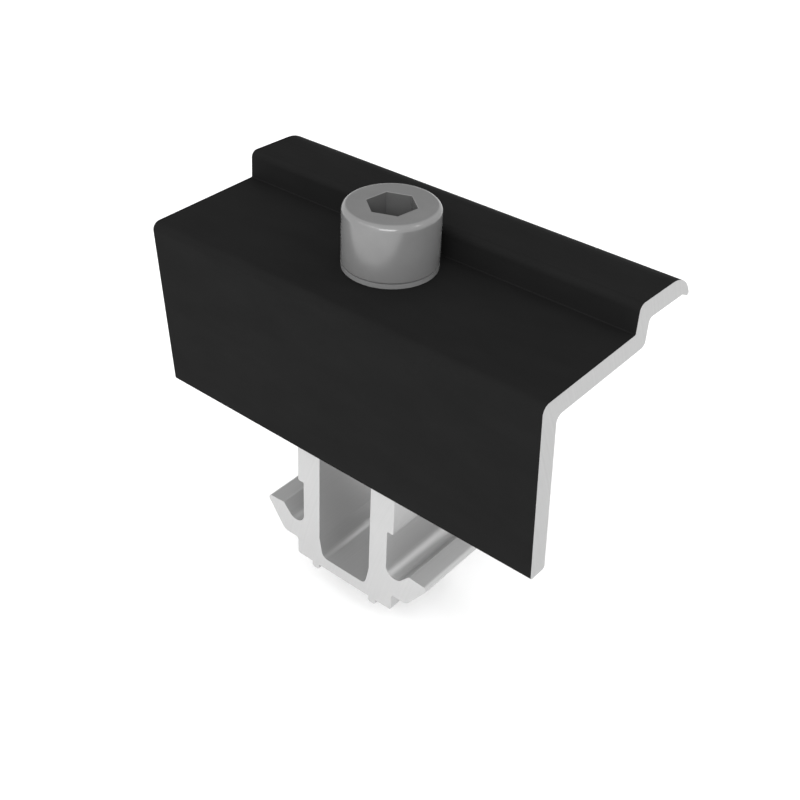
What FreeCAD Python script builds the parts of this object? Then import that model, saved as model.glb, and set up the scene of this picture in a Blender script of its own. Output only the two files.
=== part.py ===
import FreeCAD, Part
import math
import os

from FreeCAD import Vector

# End clamp for the edge of a solar module: an extruded Z-shaped clamp, a socket cap screw
# with a conical lock washer, and an extruded channel nut that hangs on the screw.
# X runs along the clamp's extrusion, Y along the rail towards the module, Z up.
# The origin is the middle of the clamp's sole, where it stands on the rail.

# Clamp profile
PROFILE_LENGTH = 64.5
WALL = 3.0
LEG_HEIGHT = 27.5
LEG_LEAN = 4.3
SCREW_SETBACK = 13.16
WEB_SETBACK = 6.56
WEB_LEAN = 1.8
FLANGE_RISE = 4.13
FLANGE_DROOP = 2.4
FLANGE_REACH = 13.2
NOSE_SLOPE = 66.0
NOSE_RADIUS = 5.6
TOOTH_LENGTH = 2.35
TOOTH_SLOPE = 27.5
TOOTH_RADIUS = 0.3
FOOT_RADIUS = 0.4
KNEE_RADIUS = 1.15
KNEE_INNER_RADIUS = 1.0
STEP_RADIUS = 0.15
STEP_UNDER_RADIUS = 0.8
SHOULDER_RADIUS = 1.0
SHOULDER_INNER_RADIUS = 0.6
SCREW_HOLE_DIAMETER = 9.0
HOLE_OFFSET = -0.35

# Socket cap screw, M8 x 35
SCREW_DIAMETER = 8.0
SCREW_LENGTH = 35.0
HEAD_DIAMETER = 13.0
HEAD_HEIGHT = 8.0
HEAD_TOP_RADIUS = 0.8
HEAD_UNDER_CHAMFER = 0.15
NECK_RADIUS = 0.15
SOCKET_ACROSS_FLATS = 6.0
SOCKET_DEPTH = 4.0
SOCKET_CONE_ANGLE = 120.0
SOCKET_MOUTH_CHAMFER = 0.05
SOCKET_TURN = 21.3
SCREW_END_CHAMFER = 0.9

# Conical lock washer
WASHER_DIAMETER = 13.0
WASHER_BORE = 8.4
WASHER_THICKNESS = 0.75
WASHER_DISH = 0.15
WASHER_EDGE_CHAMFER = 0.12

# Channel nut, heights measured up from its base face
NUT_LENGTH = 16.9
NUT_HEIGHT = 22.8
NUT_BODY_WIDTH = 18.0
NUT_NECK_WIDTH = 15.85
NUT_BASE_WIDTH = 18.25
LEDGE_HEIGHT = 14.35
HOOK_HEIGHT = 8.33
HOOK_UNDERSIDE_HEIGHT = 3.0
HOOK_SPAN = 31.2
HOOK_INNER_SPAN = 24.1
HOOK_TOP_SLOPE = 3.5
HOOK_SLANT = 36.0
GROOVE_SLOPE = 48.0
GROOVE_RADIUS = 1.62
HOOK_TIP_RADIUS = 0.55
HOOK_EDGE_RADIUS = 0.25
HOOK_HEEL_RADIUS = 1.5
HOOK_ROOT_RADIUS = 0.5
LEDGE_RADIUS = 0.2
NUT_EDGE_RADIUS = 0.4
CHANNEL_WIDTH = 9.6
CHANNEL_FLOOR = 2.0
CHANNEL_TAPER_HEIGHT = 3.4
CHANNEL_TAPER = 11.3
CHANNEL_FLOOR_RADIUS = 1.1
CHANNEL_ROOF_RADIUS = 0.4
BRIDGE_THICKNESS = 1.7
COLLAR_DIAMETER = 10.4
COLLAR_LENGTH = 3.8
RIB_PITCH = 11.05
RIB_WIDTH = 1.35
RIB_HEIGHT = 0.95
RIB_RADIUS = 0.4

# Fits
FOOT_TO_NUT_GAP = 0.3
THREAD_CLEARANCE = 0.05

# How far a drill or a key runs past the faces that it opens
OVERRUN = 3.0

# Length difference below which two places count as the same
TOLERANCE = 1e-6

# Places worked out from the sizes above
foot_half = WALL / 2 / math.cos(math.radians(LEG_LEAN))
leg_top_y = -foot_half - LEG_HEIGHT * math.tan(math.radians(LEG_LEAN))
screw_x = HOLE_OFFSET
screw_y = leg_top_y + SCREW_SETBACK
washer_height = WASHER_THICKNESS + WASHER_DISH
head_z = LEG_HEIGHT + washer_height
nut_top_z = -FOOT_TO_NUT_GAP
nut_base_z = nut_top_z - NUT_HEIGHT


def heading(degrees):
    """Unit direction in the plane of a section."""
    return Vector(math.cos(math.radians(degrees)), math.sin(math.radians(degrees)), 0)


def meet(point_a, direction_a, point_b, direction_b):
    """Where two lines of a section cross."""
    across = direction_a.x * direction_b.y - direction_a.y * direction_b.x
    offset = point_b - point_a
    along = (offset.x * direction_b.y - offset.y * direction_b.x) / across
    return point_a + direction_a * along


def shifted(point, direction, distance):
    """The point moved sideways, to the right of the direction."""
    return point + Vector(direction.y, -direction.x, 0) * distance


def section_face(corners, place):
    """Face inside a closed outline of (point, radius) corners, set in space by place()."""
    edges = []
    last_end = None
    first_start = None
    count = len(corners)
    for index, (corner, radius) in enumerate(corners):
        back = (corners[index - 1][0] - corner).normalize()
        ahead = (corners[(index + 1) % count][0] - corner).normalize()
        half_angle = back.getAngle(ahead) / 2
        reach = radius / math.tan(half_angle)
        start = corner + back * reach
        end = corner + ahead * reach
        if last_end is not None:
            edges.append(Part.LineSegment(place(last_end), place(start)).toShape())
        else:
            first_start = start
        if radius > 0:
            inward = (back + ahead).normalize()
            middle = corner + inward * (radius / math.sin(half_angle) - radius)
            edges.append(Part.Arc(place(start), place(middle), place(end)).toShape())
        last_end = end
    edges.append(Part.LineSegment(place(last_end), place(first_start)).toShape())
    return Part.Face(Part.Wire(edges))


def on_axis(height):
    """Point of the screw's axis at a height above the sole."""
    return Vector(screw_x, screw_y, height)


def drilled(radius, low_z, high_z):
    """Drill on the screw's axis that opens both faces it passes."""
    length = high_z - low_z + 2 * OVERRUN
    return Part.makeCylinder(radius, length, on_axis(low_z - OVERRUN))


def clamp_corners():
    """Corners of the clamp's section, as (Y, Z) points, clockwise from the sole."""
    leg_up = heading(90 + LEG_LEAN)
    plate_out = heading(0)
    web_up = heading(90 - WEB_LEAN)
    flange_out = heading(-FLANGE_DROOP)
    nose_down = heading(-NOSE_SLOPE)
    tooth_in = heading(180 - TOOTH_SLOPE)

    sole_outer = Vector(-foot_half, 0, 0)
    sole_inner = Vector(foot_half, 0, 0)
    knee = Vector(leg_top_y, LEG_HEIGHT, 0)
    step = Vector(screw_y + WEB_SETBACK, LEG_HEIGHT, 0)
    level = Vector(step.x, LEG_HEIGHT + FLANGE_RISE, 0)
    shoulder = meet(step, web_up, level, flange_out)

    under_flange = shifted(shoulder, flange_out, WALL)
    under_plate = shifted(knee, plate_out, WALL)
    inside_web = shifted(step, web_up, WALL)

    reach_line = Vector(step.x + FLANGE_REACH, 0, 0)
    tooth_root = meet(under_flange, flange_out, reach_line, heading(90))
    tooth_root = tooth_root - flange_out * (TOOTH_LENGTH * math.cos(math.radians(TOOTH_SLOPE)))
    tooth_tip = tooth_root - tooth_in * TOOTH_LENGTH
    nose = meet(shoulder, flange_out, tooth_tip, nose_down)

    return [
        (sole_outer, FOOT_RADIUS),
        (knee, KNEE_RADIUS),
        (step, STEP_RADIUS),
        (shoulder, SHOULDER_RADIUS),
        (nose, NOSE_RADIUS),
        (tooth_tip, TOOTH_RADIUS),
        (tooth_root, 0),
        (meet(inside_web, web_up, under_flange, flange_out), SHOULDER_INNER_RADIUS),
        (meet(inside_web, web_up, under_plate, plate_out), STEP_UNDER_RADIUS),
        (meet(sole_inner, leg_up, under_plate, plate_out), KNEE_INNER_RADIUS),
        (sole_inner, FOOT_RADIUS),
    ]


def clamp_profile():
    """Extruded clamp, sawn to length and drilled for the screw."""
    start_x = -PROFILE_LENGTH / 2
    face = section_face(clamp_corners(), lambda point: Vector(start_x, point.x, point.y))
    body = face.extrude(Vector(PROFILE_LENGTH, 0, 0))
    return body.cut(drilled(SCREW_HOLE_DIAMETER / 2, LEG_HEIGHT - WALL, LEG_HEIGHT))


def revolved(points):
    """Solid of revolution about the screw's axis from (radius, Z) points."""
    corners = [on_axis(height) + Vector(radius, 0, 0) for radius, height in points]
    face = Part.Face(Part.makePolygon(corners + corners[:1]))
    return face.revolve(on_axis(0), Vector(0, 0, 1), 360)


def hexagon(across_flats, height):
    """Hexagon wire about the screw's axis, turned as the socket is."""
    corner_radius = across_flats / math.sqrt(3)
    corners = []
    for degrees in range(0, 360, 60):
        outward = heading(SOCKET_TURN + degrees)
        corners.append(on_axis(height) + outward * corner_radius)
    return Part.makePolygon(corners + corners[:1])


def screw_socket():
    """Hexagon socket with its drilled cone floor and chamfered mouth."""
    top_z = head_z + HEAD_HEIGHT
    floor_z = top_z - SOCKET_DEPTH
    flat_radius = SOCKET_ACROSS_FLATS / 2
    key_path = Vector(0, 0, SOCKET_DEPTH + OVERRUN)
    prism = Part.Face(hexagon(SOCKET_ACROSS_FLATS, floor_z)).extrude(key_path)
    cone_depth = flat_radius / math.tan(math.radians(SOCKET_CONE_ANGLE / 2))
    cone = revolved([(0, floor_z - cone_depth), (flat_radius, floor_z), (0, floor_z)])
    mouth = Part.makeLoft(
        [
            hexagon(SOCKET_ACROSS_FLATS, top_z - SOCKET_MOUTH_CHAMFER),
            hexagon(SOCKET_ACROSS_FLATS + 2 * SOCKET_MOUTH_CHAMFER, top_z),
        ],
        True,
    )
    return prism.fuse([cone, mouth])


def clamp_screw():
    """Socket cap screw; its thread is drawn as a plain shank of the thread's outer size."""
    shank_radius = SCREW_DIAMETER / 2
    top_z = head_z + HEAD_HEIGHT
    end_z = head_z - SCREW_LENGTH
    body = revolved([
        (0, end_z),
        (shank_radius - SCREW_END_CHAMFER, end_z),
        (shank_radius, end_z + SCREW_END_CHAMFER),
        (shank_radius, head_z),
        (HEAD_DIAMETER / 2 - HEAD_UNDER_CHAMFER, head_z),
        (HEAD_DIAMETER / 2, head_z + HEAD_UNDER_CHAMFER),
        (HEAD_DIAMETER / 2, top_z),
        (0, top_z),
    ])
    body = body.makeFillet(HEAD_TOP_RADIUS, rings(body, top_z, HEAD_DIAMETER / 2))
    body = body.makeFillet(NECK_RADIUS, rings(body, head_z, shank_radius))
    return body.cut(screw_socket())


def rings(shape, height, radius):
    """Circular edges of a turned shape at one height and radius."""
    found = []
    for edge in shape.Edges:
        box = edge.BoundBox
        level = box.ZLength < TOLERANCE and abs(box.ZMin - height) < TOLERANCE
        if level and abs(box.XMax - screw_x - radius) < TOLERANCE:
            found.append(edge)
    return found


def lock_washer():
    """Conical washer: its outer rim stands on the plate, its bore edge meets the head."""
    inner = WASHER_BORE / 2
    outer = WASHER_DIAMETER / 2
    return revolved([
        (outer - WASHER_EDGE_CHAMFER, LEG_HEIGHT),
        (outer, LEG_HEIGHT + WASHER_EDGE_CHAMFER),
        (outer, LEG_HEIGHT + WASHER_THICKNESS),
        (inner, LEG_HEIGHT + washer_height),
        (inner, LEG_HEIGHT + WASHER_DISH),
    ])


def nut_side_corners():
    """Right-hand outline of the nut's section, from its top edge down to its base."""
    body = NUT_BODY_WIDTH / 2
    neck = NUT_NECK_WIDTH / 2
    base = NUT_BASE_WIDTH / 2
    hook_z = nut_base_z + HOOK_HEIGHT
    under_z = nut_base_z + HOOK_UNDERSIDE_HEIGHT
    ledge_z = nut_base_z + LEDGE_HEIGHT
    down = heading(-90)
    hook_edge = Vector(HOOK_INNER_SPAN / 2, hook_z, 0)
    hook_top = heading(-HOOK_TOP_SLOPE)
    hook_tip = meet(hook_edge, hook_top, Vector(HOOK_SPAN / 2, hook_z, 0), down)
    slant = heading(-90 - HOOK_SLANT)
    groove = meet(Vector(neck, ledge_z, 0), down, hook_edge, heading(GROOVE_SLOPE))
    heel = meet(hook_tip, slant, Vector(0, under_z, 0), heading(0))
    return [
        (Vector(body, nut_top_z, 0), NUT_EDGE_RADIUS),
        (Vector(body, ledge_z, 0), LEDGE_RADIUS),
        (Vector(neck, ledge_z, 0), LEDGE_RADIUS),
        (groove, GROOVE_RADIUS),
        (hook_edge, HOOK_EDGE_RADIUS),
        (hook_tip, HOOK_TIP_RADIUS),
        (heel, HOOK_HEEL_RADIUS),
        (Vector(base, under_z, 0), HOOK_ROOT_RADIUS),
        (Vector(base, nut_base_z, 0), NUT_EDGE_RADIUS),
    ] + nut_rib_corners()


def nut_rib_corners():
    """Small rib under the base, right of the middle."""
    outer = (RIB_PITCH + RIB_WIDTH) / 2
    inner = (RIB_PITCH - RIB_WIDTH) / 2
    tip_z = nut_base_z - RIB_HEIGHT
    return [
        (Vector(outer, nut_base_z, 0), 0),
        (Vector(outer, tip_z, 0), RIB_RADIUS),
        (Vector(inner, tip_z, 0), RIB_RADIUS),
        (Vector(inner, nut_base_z, 0), 0),
    ]


def channel_side_corners():
    """Right-hand outline of the channel that runs through the nut."""
    half = CHANNEL_WIDTH / 2
    floor_z = nut_base_z + CHANNEL_FLOOR
    taper_top = Vector(half, floor_z + CHANNEL_TAPER_HEIGHT, 0)
    floor_edge = meet(taper_top, heading(-90 - CHANNEL_TAPER), Vector(0, floor_z, 0), heading(0))
    return [
        (Vector(half, nut_top_z - BRIDGE_THICKNESS, 0), CHANNEL_ROOF_RADIUS),
        (taper_top, 0),
        (floor_edge, CHANNEL_FLOOR_RADIUS),
    ]


def with_mirror(side):
    """Closed outline from one side's corners and their mirror image in X = 0."""
    mirrored = [(Vector(-point.x, point.y, 0), radius) for point, radius in reversed(side)]
    return side + mirrored


def channel_nut():
    """Extruded nut, sawn to length: hooks, channel, and a threaded collar in the bridge."""
    start_y = screw_y - NUT_LENGTH / 2

    def place(point):
        return Vector(screw_x + point.x, start_y, point.y)

    along = Vector(0, NUT_LENGTH, 0)
    body = section_face(with_mirror(nut_side_corners()), place).extrude(along)
    channel = section_face(with_mirror(channel_side_corners()), place).extrude(along)
    bridge_z = nut_top_z - BRIDGE_THICKNESS
    collar_height = COLLAR_LENGTH + BRIDGE_THICKNESS / 2
    collar_end_z = bridge_z - COLLAR_LENGTH
    collar = Part.makeCylinder(COLLAR_DIAMETER / 2, collar_height, on_axis(collar_end_z))
    hole = drilled(SCREW_DIAMETER / 2 + THREAD_CLEARANCE, collar_end_z, nut_top_z)
    return body.cut(channel).fuse(collar).cut(hole).removeSplitter()


NODES = {
    "clamp_profile": clamp_profile,
    "clamp_screw": clamp_screw,
    "lock_washer": lock_washer,
    "channel_nut": channel_nut,
}

os.makedirs("parts", exist_ok=True)
for name, make in NODES.items():
    shape = make()
    shape.exportStep("parts/" + name + ".step")
    solid = shape.Solids[0]
    print(name, len(shape.Solids), shape.isValid(), round(solid.Volume, 2), shape.BoundBox)
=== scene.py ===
import math

import bmesh
import bpy
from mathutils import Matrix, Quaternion, Vector


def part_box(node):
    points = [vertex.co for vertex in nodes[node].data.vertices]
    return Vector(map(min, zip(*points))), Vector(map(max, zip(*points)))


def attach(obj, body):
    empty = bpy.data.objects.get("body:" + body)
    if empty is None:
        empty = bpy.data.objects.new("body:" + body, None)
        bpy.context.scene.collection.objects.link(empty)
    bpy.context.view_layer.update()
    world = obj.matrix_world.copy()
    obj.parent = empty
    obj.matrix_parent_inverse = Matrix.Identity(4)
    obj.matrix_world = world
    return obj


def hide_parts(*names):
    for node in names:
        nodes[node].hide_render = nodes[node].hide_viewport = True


MM = 0.001

# Camera, fitted to the photograph's edges
CAMERA_PLACE = Vector((87.969, -102.048, 108.921)) * MM
CAMERA_AZIMUTH = 42.566
CAMERA_ELEVATION = 33.562
CAMERA_ROLL = -0.262
FOCAL_LENGTH = 56.052
SENSOR_WIDTH = 36.0
SHIFT_X = 0.1120
SHIFT_Y = -0.0675
CLIP_START = 0.01
CLIP_END = 20.0

# Socket cap screw, M8 x 35
HEAD_RADIUS = 6.5 * MM
HEAD_HEIGHT = 8.0 * MM
HEAD_TOP_RADIUS = 0.8 * MM
HEAD_UNDER_CHAMFER = 0.07 * MM
SOCKET_ACROSS_FLATS = 6.0 * MM
SOCKET_DEPTH = 4.0 * MM
SOCKET_DRILL_RADIUS = 2.95 * MM
SOCKET_CONE_ANGLE = 120.0
SOCKET_MOUTH_CHAMFER = 0.05 * MM
SOCKET_TURN = 21.3
HEXAGON_SIXTH = math.radians(60)
THREAD_RADIUS = 4.0 * MM
THREAD_PITCH = 1.25 * MM
THREAD_ROOT_RADIUS = 3.27 * MM
THREAD_NECK_RADIUS = 3.6 * MM
THREAD_NECK_LENGTH = 1.9 * MM
THREAD_RUN_OUT = 1.0 * MM
THREAD_END_RADIUS = 3.1 * MM
THREAD_END_CHAMFER = 0.9 * MM
THREAD_INTO_HEAD = 1.0 * MM

# Thread's flank from the root's curve to the crest: share of the pitch from the crest's middle, radius
THREAD_CREST_PLACE = 0.52
THREAD_FLANK = (
    (0.46, THREAD_ROOT_RADIUS + 0.01 * MM),
    (0.40, THREAD_ROOT_RADIUS + 0.06 * MM),
    (0.23, THREAD_ROOT_RADIUS + 0.36 * MM),
    (0.0625, THREAD_RADIUS - 0.03 * MM),
    (0.045, THREAD_RADIUS),
)

# The floor lies where the nut's ribs come to at the end of its travel
NUT_TRAVEL = 3.75 * MM
FLOOR_CLEARANCE = 0.01 * MM
FLOOR_HALF = 3.0

# Fineness of the made meshes, and the angles past which an edge stays sharp
HEAD_STEPS = 192
FILLET_STEPS = 10
THREAD_STEPS = 72
MERGE_DISTANCE = 0.0005 * MM
HEAD_SHARP_ANGLE = 35
THREAD_SHARP_ANGLE = 50

# Tones, as linear reflectance
ANODISED_TONE = 0.0107
BARE_END_TONE = 0.423
STEEL_TONE = 0.195
WASHER_TONE = 0.229
# Share of the steel's tone kept in the hex socket: painted shade, darkening the recess where shade
# falls
SOCKET_PAINTED_SHADE = 0.64
NUT_TONE = 0.433
NUT_SAWN_TONE = 0.475
FLOOR_TONE = 0.97
FLOOR_TONE_LOSS = 0.01

# Spread of each tone, as shares of it
ANODISED_SPREAD = (0.92, 1.08)
BARE_END_SPREAD = (0.97, 1.03)
STEEL_SPREAD = (0.96, 1.04)
NUT_SPREAD = (0.95, 1.03)
NUT_SAWN_SPREAD = (0.98, 1.02)

# Surfaces: roughness, share of metal, level of the clear reflection
ANODISED_ROUGHNESS = (0.50, 0.62)
ANODISED_REFLECTION = 0.01
SAWN_ROUGHNESS = 0.5
STEEL_ROUGHNESS = (0.15, 0.21)
STEEL_METAL = 0.29
STEEL_REFLECTION = 0.15
STEEL_ANISOTROPY = 0.6
STEEL_ANISOTROPY_TURN = 0.25
NUT_ROUGHNESS = (0.32, 0.42)
NUT_METAL = 0.6
FLOOR_ROUGHNESS = 0.9
FLOOR_REFLECTION = 0.1

# Grain: its length along each axis, the centres of the saw's strokes and the depth of relief
CLAMP_DIE_GRAIN = (30 * MM, 0.12 * MM, 0.12 * MM)
CLAMP_CLOUD_GRAIN = (9 * MM, 4 * MM, 4 * MM)
CLAMP_SAW_CENTRE = (0.0, -0.12, -0.03)
NUT_DIE_GRAIN = (0.15 * MM, 25 * MM, 0.15 * MM)
NUT_SAW_CENTRE = (0.12, 0.0, -0.05)
SAW_GRAIN = 0.35 * MM
STEEL_CLOUD_GRAIN = (3 * MM, 3 * MM, 3 * MM)
TURNED_FACE_GRAIN = 0.10 * MM
TURNED_SIDE_GRAIN = 0.12 * MM
FLOOR_GRAIN = (20 * MM, 20 * MM, 20 * MM)
EXTRUDED_RELIEF = 0.004 * MM
TURNED_RELIEF = 0.002 * MM
SAWN_DEPTH = 0.02 * MM

# Noise: its detail, and the values that are spread over a range
NOISE_DETAIL = 3.0
NOISE_LOW = 0.25
NOISE_HIGH = 0.75

# Surroundings: level, and a dark flag where the flat tops mirror it
WORLD_LEVEL = 1.2
FLAG_LEVEL = 0.12
FLAG_DIRECTION = (-0.55, 0.70, 0.45)
FLAG_INNER = 12.0
FLAG_OUTER = 27.0

# Soft lights, as place, width, height and watts, and the point that they face
LIGHT_TARGET = (0.0, 0.01, 0.0)
LIGHTS = {
    "key": ((0.57, -0.98, 0.66), 0.80, 0.55, 8.0),
    "front_strip": ((-0.27, -0.80, 0.84), 1.00, 0.06, 1.9),
    "back_right": ((0.70, 0.35, 0.90), 0.25, 0.25, 0.7),
}

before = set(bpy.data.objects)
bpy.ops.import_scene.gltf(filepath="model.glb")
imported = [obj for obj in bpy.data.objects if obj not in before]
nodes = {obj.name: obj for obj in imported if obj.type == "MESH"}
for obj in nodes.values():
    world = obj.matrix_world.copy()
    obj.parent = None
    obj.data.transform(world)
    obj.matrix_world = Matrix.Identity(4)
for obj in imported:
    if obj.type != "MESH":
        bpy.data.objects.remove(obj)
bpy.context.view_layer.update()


def make_camera():
    """The photograph's camera."""
    data = bpy.data.cameras.new("camera")
    data.sensor_width = SENSOR_WIDTH
    data.lens = FOCAL_LENGTH
    data.shift_x = SHIFT_X
    data.shift_y = SHIFT_Y
    data.clip_start = CLIP_START
    data.clip_end = CLIP_END
    camera = bpy.data.objects.new("camera", data)
    azimuth = math.radians(CAMERA_AZIMUTH)
    elevation = math.radians(CAMERA_ELEVATION)
    back = Vector((
        math.sin(azimuth) * math.cos(elevation),
        -math.cos(azimuth) * math.cos(elevation),
        math.sin(elevation),
    ))
    upright = (-back).to_track_quat("-Z", "Y")
    camera.rotation_mode = "QUATERNION"
    camera.rotation_quaternion = Quaternion(back, math.radians(CAMERA_ROLL)) @ upright
    camera.location = CAMERA_PLACE
    bpy.context.scene.collection.objects.link(camera)
    bpy.context.scene.camera = camera


def make_softbox(name, place, width, height, watts):
    """Rectangular studio light that faces the part."""
    data = bpy.data.lights.new(name, "AREA")
    data.shape = "RECTANGLE"
    data.size = width
    data.size_y = height
    data.energy = watts
    light = bpy.data.objects.new(name, data)
    light.location = place
    light.rotation_mode = "QUATERNION"
    toward = Vector(LIGHT_TARGET) - Vector(place)
    light.rotation_quaternion = toward.to_track_quat("-Z", "Y")
    bpy.context.scene.collection.objects.link(light)


def make_world():
    """Even pale surroundings, with a soft dark flag behind and above the part."""
    world = bpy.data.worlds.new("surroundings")
    world.use_nodes = True
    tree = world.node_tree
    direction = tree.nodes.new("ShaderNodeTexCoord").outputs["Generated"]
    toward = tree.nodes.new("ShaderNodeVectorMath")
    toward.operation = "DOT_PRODUCT"
    tree.links.new(direction, toward.inputs[0])
    toward.inputs[1].default_value = Vector(FLAG_DIRECTION).normalized()
    level = tree.nodes.new("ShaderNodeMapRange")
    level.interpolation_type = "SMOOTHSTEP"
    tree.links.new(toward.outputs["Value"], level.inputs["Value"])
    level.inputs["From Min"].default_value = math.cos(math.radians(FLAG_OUTER))
    level.inputs["From Max"].default_value = math.cos(math.radians(FLAG_INNER))
    level.inputs["To Min"].default_value = WORLD_LEVEL
    level.inputs["To Max"].default_value = FLAG_LEVEL
    background = tree.nodes["Background"]
    background.inputs["Color"].default_value = (1.0, 1.0, 1.0, 1.0)
    tree.links.new(level.outputs["Result"], background.inputs["Strength"])
    bpy.context.scene.world = world


def make_floor(height):
    """Square pale floor at a height."""
    mesh = bpy.data.meshes.new("floor")
    half = FLOOR_HALF
    corners = [(-half, -half), (half, -half), (half, half), (-half, half)]
    mesh.from_pydata([(x, y, height) for x, y in corners], [], [(0, 1, 2, 3)])
    floor = bpy.data.objects.new("floor", mesh)
    bpy.context.scene.collection.objects.link(floor)
    floor.data.materials.append(floor_material())


def make_studio(floor_height):
    """Pale floor under the part, pale surroundings and soft lights."""
    bpy.context.scene.view_settings.view_transform = "Standard"
    make_world()
    make_floor(floor_height)
    for name, (place, width, height, watts) in LIGHTS.items():
        make_softbox(name, place, width, height, watts)


class Nodes:
    """Small helper that builds one material's node tree."""

    def __init__(self, name):
        self.material = bpy.data.materials.new(name)
        self.material.use_nodes = True
        self.tree = self.material.node_tree
        self.shader = self.tree.nodes["Principled BSDF"]
        self.place = self.add("ShaderNodeTexCoord").outputs["Object"]

    def add(self, kind, **settings):
        """New node with some of its own settings."""
        node = self.tree.nodes.new(kind)
        for key, value in settings.items():
            setattr(node, key, value)
        return node

    def feed(self, node, index, value):
        """Gives an input a link or a constant."""
        if isinstance(value, bpy.types.NodeSocket):
            self.tree.links.new(value, node.inputs[index])
        else:
            node.inputs[index].default_value = value

    def math(self, operation, first, second=0.0):
        """Result of an operation on two numbers."""
        node = self.add("ShaderNodeMath", operation=operation)
        self.feed(node, 0, first)
        self.feed(node, 1, second)
        return node.outputs[0]

    def vector(self, operation, first, second, output):
        """Result of an operation on two vectors."""
        node = self.add("ShaderNodeVectorMath", operation=operation)
        self.feed(node, 0, first)
        self.feed(node, 1, second)
        return node.outputs[output]

    def axis(self, name):
        """One coordinate of the place on the part."""
        split = self.add("ShaderNodeSeparateXYZ")
        self.feed(split, 0, self.place)
        return split.outputs[name]

    def noise(self, grain):
        """Noise whose grain is a length along each axis, in metres; 0 to 1 about 0.5."""
        scaled = self.add("ShaderNodeMapping")
        self.feed(scaled, "Vector", self.place)
        scaled.inputs["Scale"].default_value = [1.0 / length for length in grain]
        node = self.add("ShaderNodeTexNoise")
        self.feed(node, "Vector", scaled.outputs[0])
        node.inputs["Scale"].default_value = 1.0
        node.inputs["Detail"].default_value = NOISE_DETAIL
        return node.outputs["Fac"]

    def rings(self, centre, grain):
        """Noise along the distance from a centre, as a saw blade leaves it."""
        return self.lines(self.vector("DISTANCE", self.place, centre, "Value"), grain)

    def lines(self, value, grain):
        """Noise along one measure, with that grain in metres."""
        node = self.add("ShaderNodeTexNoise", noise_dimensions="1D")
        self.feed(node, "W", self.math("DIVIDE", value, grain))
        node.inputs["Scale"].default_value = 1.0
        node.inputs["Detail"].default_value = NOISE_DETAIL
        return node.outputs["Fac"]

    def between(self, value, low, high):
        """The middle values of a noise, spread over low to high."""
        node = self.add("ShaderNodeMapRange")
        self.feed(node, "Value", value)
        node.inputs["From Min"].default_value = NOISE_LOW
        node.inputs["From Max"].default_value = NOISE_HIGH
        self.feed(node, "To Min", low)
        self.feed(node, "To Max", high)
        return node.outputs["Result"]

    def shades(self, value, tone, spread):
        """A tone that a noise varies by shares of it."""
        low, high = spread
        return self.between(value, tone * low, tone * high)

    def choose(self, mask, otherwise, chosen):
        """A number that is chosen where the mask is 1."""
        node = self.add("ShaderNodeMix", data_type="FLOAT")
        self.feed(node, 0, mask)
        self.feed(node, 2, otherwise)
        self.feed(node, 3, chosen)
        return node.outputs[0]

    def tone(self, value):
        """Neutral colour from a number, into the shader's colour."""
        node = self.add("ShaderNodeCombineColor")
        for channel in range(3):
            self.feed(node, channel, value)
        self.tree.links.new(node.outputs[0], self.shader.inputs["Base Color"])

    def bump(self, height, depth):
        """Relief of that depth in metres where the height runs from 0 to 1."""
        node = self.add("ShaderNodeBump")
        self.feed(node, "Height", height)
        node.inputs["Distance"].default_value = depth
        self.tree.links.new(node.outputs[0], self.shader.inputs["Normal"])


def floor_material():
    """Matt pale board with a faint grain."""
    made = Nodes("floor")
    made.tone(made.between(made.noise(FLOOR_GRAIN), FLOOR_TONE - FLOOR_TONE_LOSS, FLOOR_TONE))
    made.shader.inputs["Roughness"].default_value = FLOOR_ROUGHNESS
    made.shader.inputs["Specular IOR Level"].default_value = FLOOR_REFLECTION
    return made.material


def sawn_mask(made, axis, low, high):
    """1 on the two sawn ends of a piece and 0 between them."""
    middle = (low + high) / 2
    half = (high - low) / 2
    from_middle = made.math("ABSOLUTE", made.math("SUBTRACT", made.axis(axis), middle))
    return made.math("GREATER_THAN", from_middle, half - SAWN_DEPTH)


def anodised_material():
    """Black anodised extrusion with fine die lines, and bare sawn ends."""
    made = Nodes("black_anodised_extrusion")
    low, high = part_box("clamp_profile")
    bare = sawn_mask(made, "X", low.x, high.x)
    die_lines = made.noise(CLAMP_DIE_GRAIN)
    cloud = made.noise(CLAMP_CLOUD_GRAIN)
    saw = made.rings(CLAMP_SAW_CENTRE, SAW_GRAIN)

    black = made.shades(cloud, ANODISED_TONE, ANODISED_SPREAD)
    metal = made.shades(saw, BARE_END_TONE, BARE_END_SPREAD)
    made.tone(made.choose(bare, black, metal))
    gloss = made.between(die_lines, *ANODISED_ROUGHNESS)
    made.feed(made.shader, "Roughness", made.choose(bare, gloss, SAWN_ROUGHNESS))
    made.feed(made.shader, "Metallic", bare)
    made.shader.inputs["Specular IOR Level"].default_value = ANODISED_REFLECTION
    made.bump(made.choose(bare, die_lines, saw), EXTRUDED_RELIEF)
    return made.material


def screw_axis():
    """X and Y of the screw's axis."""
    low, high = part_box("clamp_screw")
    return (low.x + high.x) / 2, (low.y + high.y) / 2


def axis_distance(made):
    """Distance of a place from the screw's axis."""
    from_axis = made.vector("SUBTRACT", made.place, (*screw_axis(), 0.0), 0)
    flat = made.vector("MULTIPLY", from_axis, (1.0, 1.0, 0.0), 0)
    length = made.add("ShaderNodeVectorMath", operation="LENGTH")
    made.feed(length, 0, flat)
    return length.outputs["Value"]


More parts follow.
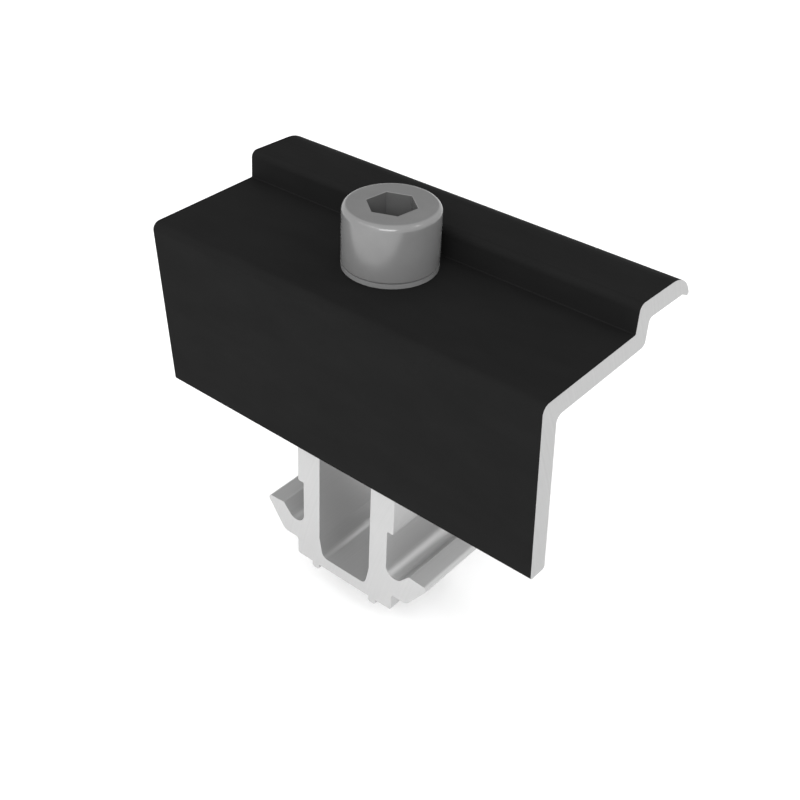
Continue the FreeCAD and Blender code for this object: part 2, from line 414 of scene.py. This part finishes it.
def socket_mask(made, distance):
    """1 in the screw's socket, where the tone is darkened as painted shade, and 0 elsewhere."""
    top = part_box("clamp_screw")[1].z
    corner = SOCKET_ACROSS_FLATS / 2 / math.cos(HEXAGON_SIXTH / 2)
    near_axis = made.math("LESS_THAN", distance, corner + SOCKET_MOUTH_CHAMFER)
    above_seat = made.math("GREATER_THAN", made.axis("Z"), top - HEAD_HEIGHT)
    below_top = made.math("LESS_THAN", made.axis("Z"), top - SOCKET_MOUTH_CHAMFER)
    return made.math("MULTIPLY", near_axis, made.math("MULTIPLY", above_seat, below_top))


def steel_material(name, base_tone):
    """Satin steel turned about the screw's axis: rings on flat faces, lines round the sides; painted
    shade darkens the socket.
    """
    made = Nodes(name)
    distance = axis_distance(made)
    face_grain = made.lines(distance, TURNED_FACE_GRAIN)
    side_grain = made.lines(made.axis("Z"), TURNED_SIDE_GRAIN)
    grain = made.math("MULTIPLY", made.math("ADD", face_grain, side_grain), 0.5)
    cloud = made.noise(STEEL_CLOUD_GRAIN)

    tone = made.shades(cloud, base_tone, STEEL_SPREAD)
    # Painted shade: the socket's tone is darkened where shade falls in the recess
    painted_socket_shade = made.math("MULTIPLY", tone, SOCKET_PAINTED_SHADE)
    made.tone(made.choose(socket_mask(made, distance), tone, painted_socket_shade))
    made.feed(made.shader, "Roughness", made.between(grain, *STEEL_ROUGHNESS))
    made.shader.inputs["Metallic"].default_value = STEEL_METAL
    made.shader.inputs["Specular IOR Level"].default_value = STEEL_REFLECTION
    tangent = made.add("ShaderNodeTangent", direction_type="RADIAL", axis="Z")
    made.feed(made.shader, "Tangent", tangent.outputs[0])
    made.shader.inputs["Anisotropic"].default_value = STEEL_ANISOTROPY
    made.shader.inputs["Anisotropic Rotation"].default_value = STEEL_ANISOTROPY_TURN
    made.bump(grain, TURNED_RELIEF)
    return made.material


def nut_material():
    """Bare extruded aluminium with die lines along it and sawn end faces."""
    made = Nodes("bare_aluminium_extrusion")
    low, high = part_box("channel_nut")
    sawn = sawn_mask(made, "Y", low.y, high.y)
    die_lines = made.noise(NUT_DIE_GRAIN)
    saw = made.rings(NUT_SAW_CENTRE, SAW_GRAIN)

    extruded = made.shades(die_lines, NUT_TONE, NUT_SPREAD)
    cut = made.shades(saw, NUT_SAWN_TONE, NUT_SAWN_SPREAD)
    made.tone(made.choose(sawn, extruded, cut))
    gloss = made.between(die_lines, *NUT_ROUGHNESS)
    made.feed(made.shader, "Roughness", made.choose(sawn, gloss, SAWN_ROUGHNESS))
    made.shader.inputs["Metallic"].default_value = NUT_METAL
    made.bump(made.choose(sawn, die_lines, saw), EXTRUDED_RELIEF)
    return made.material


def wear(piece, material):
    """Gives a piece one material."""
    piece.data.materials.clear()
    piece.data.materials.append(material)


def finished_mesh(name, bm, sharp_angle):
    """Object from a bmesh, smooth but for edges sharper than the angle."""
    bmesh.ops.recalc_face_normals(bm, faces=bm.faces)
    mesh = bpy.data.meshes.new(name)
    bm.to_mesh(mesh)
    bm.free()
    mesh.shade_smooth()
    mesh.set_sharp_from_angle(angle=math.radians(sharp_angle))
    piece = bpy.data.objects.new(name, mesh)
    bpy.context.scene.collection.objects.link(piece)
    return piece


def join_screw(piece, material):
    """Makes a mesh part of the screw, in place of the screw's solid."""
    wear(piece, material)
    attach(piece, "screw")
    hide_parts("clamp_screw")


def turned_vertex(bm, axis, radius, angle, height):
    """Vertex at a radius and an angle about an upright axis."""
    axis_x, axis_y = axis
    place = (axis_x + radius * math.cos(angle), axis_y + radius * math.sin(angle), height)
    return bm.verts.new(place)


def hexagon_radius(across_flats, angle):
    """Distance from the socket's axis to its wall in one direction."""
    from_flat = (angle - math.radians(SOCKET_TURN)) % HEXAGON_SIXTH - HEXAGON_SIXTH / 2
    return across_flats / 2 / math.cos(from_flat)


def head_rings(bottom):
    """Rings of the head from its seat to the socket's floor, as (radius at an angle, height)."""
    top = bottom + HEAD_HEIGHT
    rings = [
        (lambda angle: HEAD_RADIUS - HEAD_UNDER_CHAMFER, bottom),
        (lambda angle: HEAD_RADIUS, bottom + HEAD_UNDER_CHAMFER),
    ]
    for step in range(FILLET_STEPS + 1):
        turn = math.radians(90) * step / FILLET_STEPS
        radius = HEAD_RADIUS - HEAD_TOP_RADIUS * (1 - math.cos(turn))
        height = top - HEAD_TOP_RADIUS * (1 - math.sin(turn))
        rings.append((lambda angle, radius=radius: radius, height))
    floor = top - SOCKET_DEPTH
    mouth = SOCKET_ACROSS_FLATS + 2 * SOCKET_MOUTH_CHAMFER
    rings += [
        (lambda angle: hexagon_radius(mouth, angle), top),
        (lambda angle: hexagon_radius(SOCKET_ACROSS_FLATS, angle), top - SOCKET_MOUTH_CHAMFER),
        (lambda angle: hexagon_radius(SOCKET_ACROSS_FLATS, angle), floor),
        (lambda angle: SOCKET_DRILL_RADIUS, floor),
    ]
    return rings


def make_head(material):
    """Cylinder head with rounded top edge and hexagon socket, closed below."""
    axis = screw_axis()
    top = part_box("clamp_screw")[1].z
    bottom = top - HEAD_HEIGHT
    cone_depth = SOCKET_DRILL_RADIUS / math.tan(math.radians(SOCKET_CONE_ANGLE / 2))
    angles = [math.radians(SOCKET_TURN + 360 * step / HEAD_STEPS) for step in range(HEAD_STEPS)]
    bm = bmesh.new()
    rings = []
    for radius_at, height in head_rings(bottom):
        rings.append([turned_vertex(bm, axis, radius_at(angle), angle, height) for angle in angles])
    for ring, following in zip(rings, rings[1:]):
        for step in range(HEAD_STEPS):
            after = (step + 1) % HEAD_STEPS
            bm.faces.new((ring[step], ring[after], following[after], following[step]))
    tips = [
        (rings[0], turned_vertex(bm, axis, 0.0, 0.0, bottom)),
        (rings[-1], turned_vertex(bm, axis, 0.0, 0.0, top - SOCKET_DEPTH - cone_depth)),
    ]
    for ring, tip in tips:
        for step in range(HEAD_STEPS):
            bm.faces.new((ring[step], ring[(step + 1) % HEAD_STEPS], tip))
    join_screw(finished_mesh("screw_head", bm, HEAD_SHARP_ANGLE), material)


def thread_profile():
    """One pitch of the thread as (share of the pitch, radius): root, flank, crest, flank."""
    rise = [(THREAD_CREST_PLACE - share, radius) for share, radius in THREAD_FLANK]
    fall = [(THREAD_CREST_PLACE + share, radius) for share, radius in reversed(THREAD_FLANK)]
    return [(0.0, THREAD_ROOT_RADIUS)] + rise + fall


def envelope(height, bottom, head_bottom):
    """Lowest and highest radius that the shank has at a height: chamfered end, run-out, neck."""
    end_slope = (THREAD_RADIUS - THREAD_END_RADIUS) / THREAD_END_CHAMFER
    chamfered = THREAD_END_RADIUS + (height - bottom) * end_slope
    neck_start = head_bottom - THREAD_NECK_LENGTH
    fade = min(1.0, max(0.0, (height - neck_start + THREAD_RUN_OUT) / THREAD_RUN_OUT))
    highest = min(chamfered, THREAD_RADIUS + (THREAD_NECK_RADIUS - THREAD_RADIUS) * fade)
    lowest = min(highest, THREAD_ROOT_RADIUS + (THREAD_NECK_RADIUS - THREAD_ROOT_RADIUS) * fade)
    return lowest, highest


def thread_column(bm, axis, step, bottom, head_bottom):
    """Vertices of the shank in one direction from the axis, from its end up into the head."""
    top = head_bottom + THREAD_INTO_HEAD
    turns = math.ceil((top - bottom) / THREAD_PITCH) + 1
    angle = 2 * math.pi * step / THREAD_STEPS
    column = []
    for turn in range(-1, turns):
        for share, radius in thread_profile():
            height = bottom + THREAD_PITCH * (turn + share + step / THREAD_STEPS)
            height = min(top, max(bottom, height))
            lowest, highest = envelope(height, bottom, head_bottom)
            kept = min(highest, max(lowest, radius))
            column.append(turned_vertex(bm, axis, kept, angle, height))
    return column


def make_thread(material):
    """Right-hand threaded shank, cut off square at its end and closed inside the head."""
    axis = screw_axis()
    low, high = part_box("clamp_screw")
    head_bottom = high.z - HEAD_HEIGHT
    bm = bmesh.new()
    columns = []
    for step in range(THREAD_STEPS + 1):
        columns.append(thread_column(bm, axis, step, low.z, head_bottom))
    for left, right in zip(columns, columns[1:]):
        for row in range(len(left) - 1):
            bm.faces.new((left[row], right[row], right[row + 1], left[row + 1]))
    bmesh.ops.remove_doubles(bm, verts=bm.verts, dist=MERGE_DISTANCE)
    bmesh.ops.dissolve_degenerate(bm, edges=bm.edges, dist=MERGE_DISTANCE)
    open_edges = [edge for edge in bm.edges if edge.is_boundary]
    bmesh.ops.holes_fill(bm, edges=open_edges, sides=0)
    join_screw(finished_mesh("screw_thread", bm, THREAD_SHARP_ANGLE), material)


make_camera()
make_studio(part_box("channel_nut")[0].z - NUT_TRAVEL - FLOOR_CLEARANCE)
steel = steel_material("satin_steel", STEEL_TONE)
washer_steel = steel_material("washer_spring_steel", WASHER_TONE)
make_head(steel)
make_thread(steel)
wear(nodes["lock_washer"], washer_steel)
wear(nodes["clamp_profile"], anodised_material())
wear(nodes["channel_nut"], nut_material())
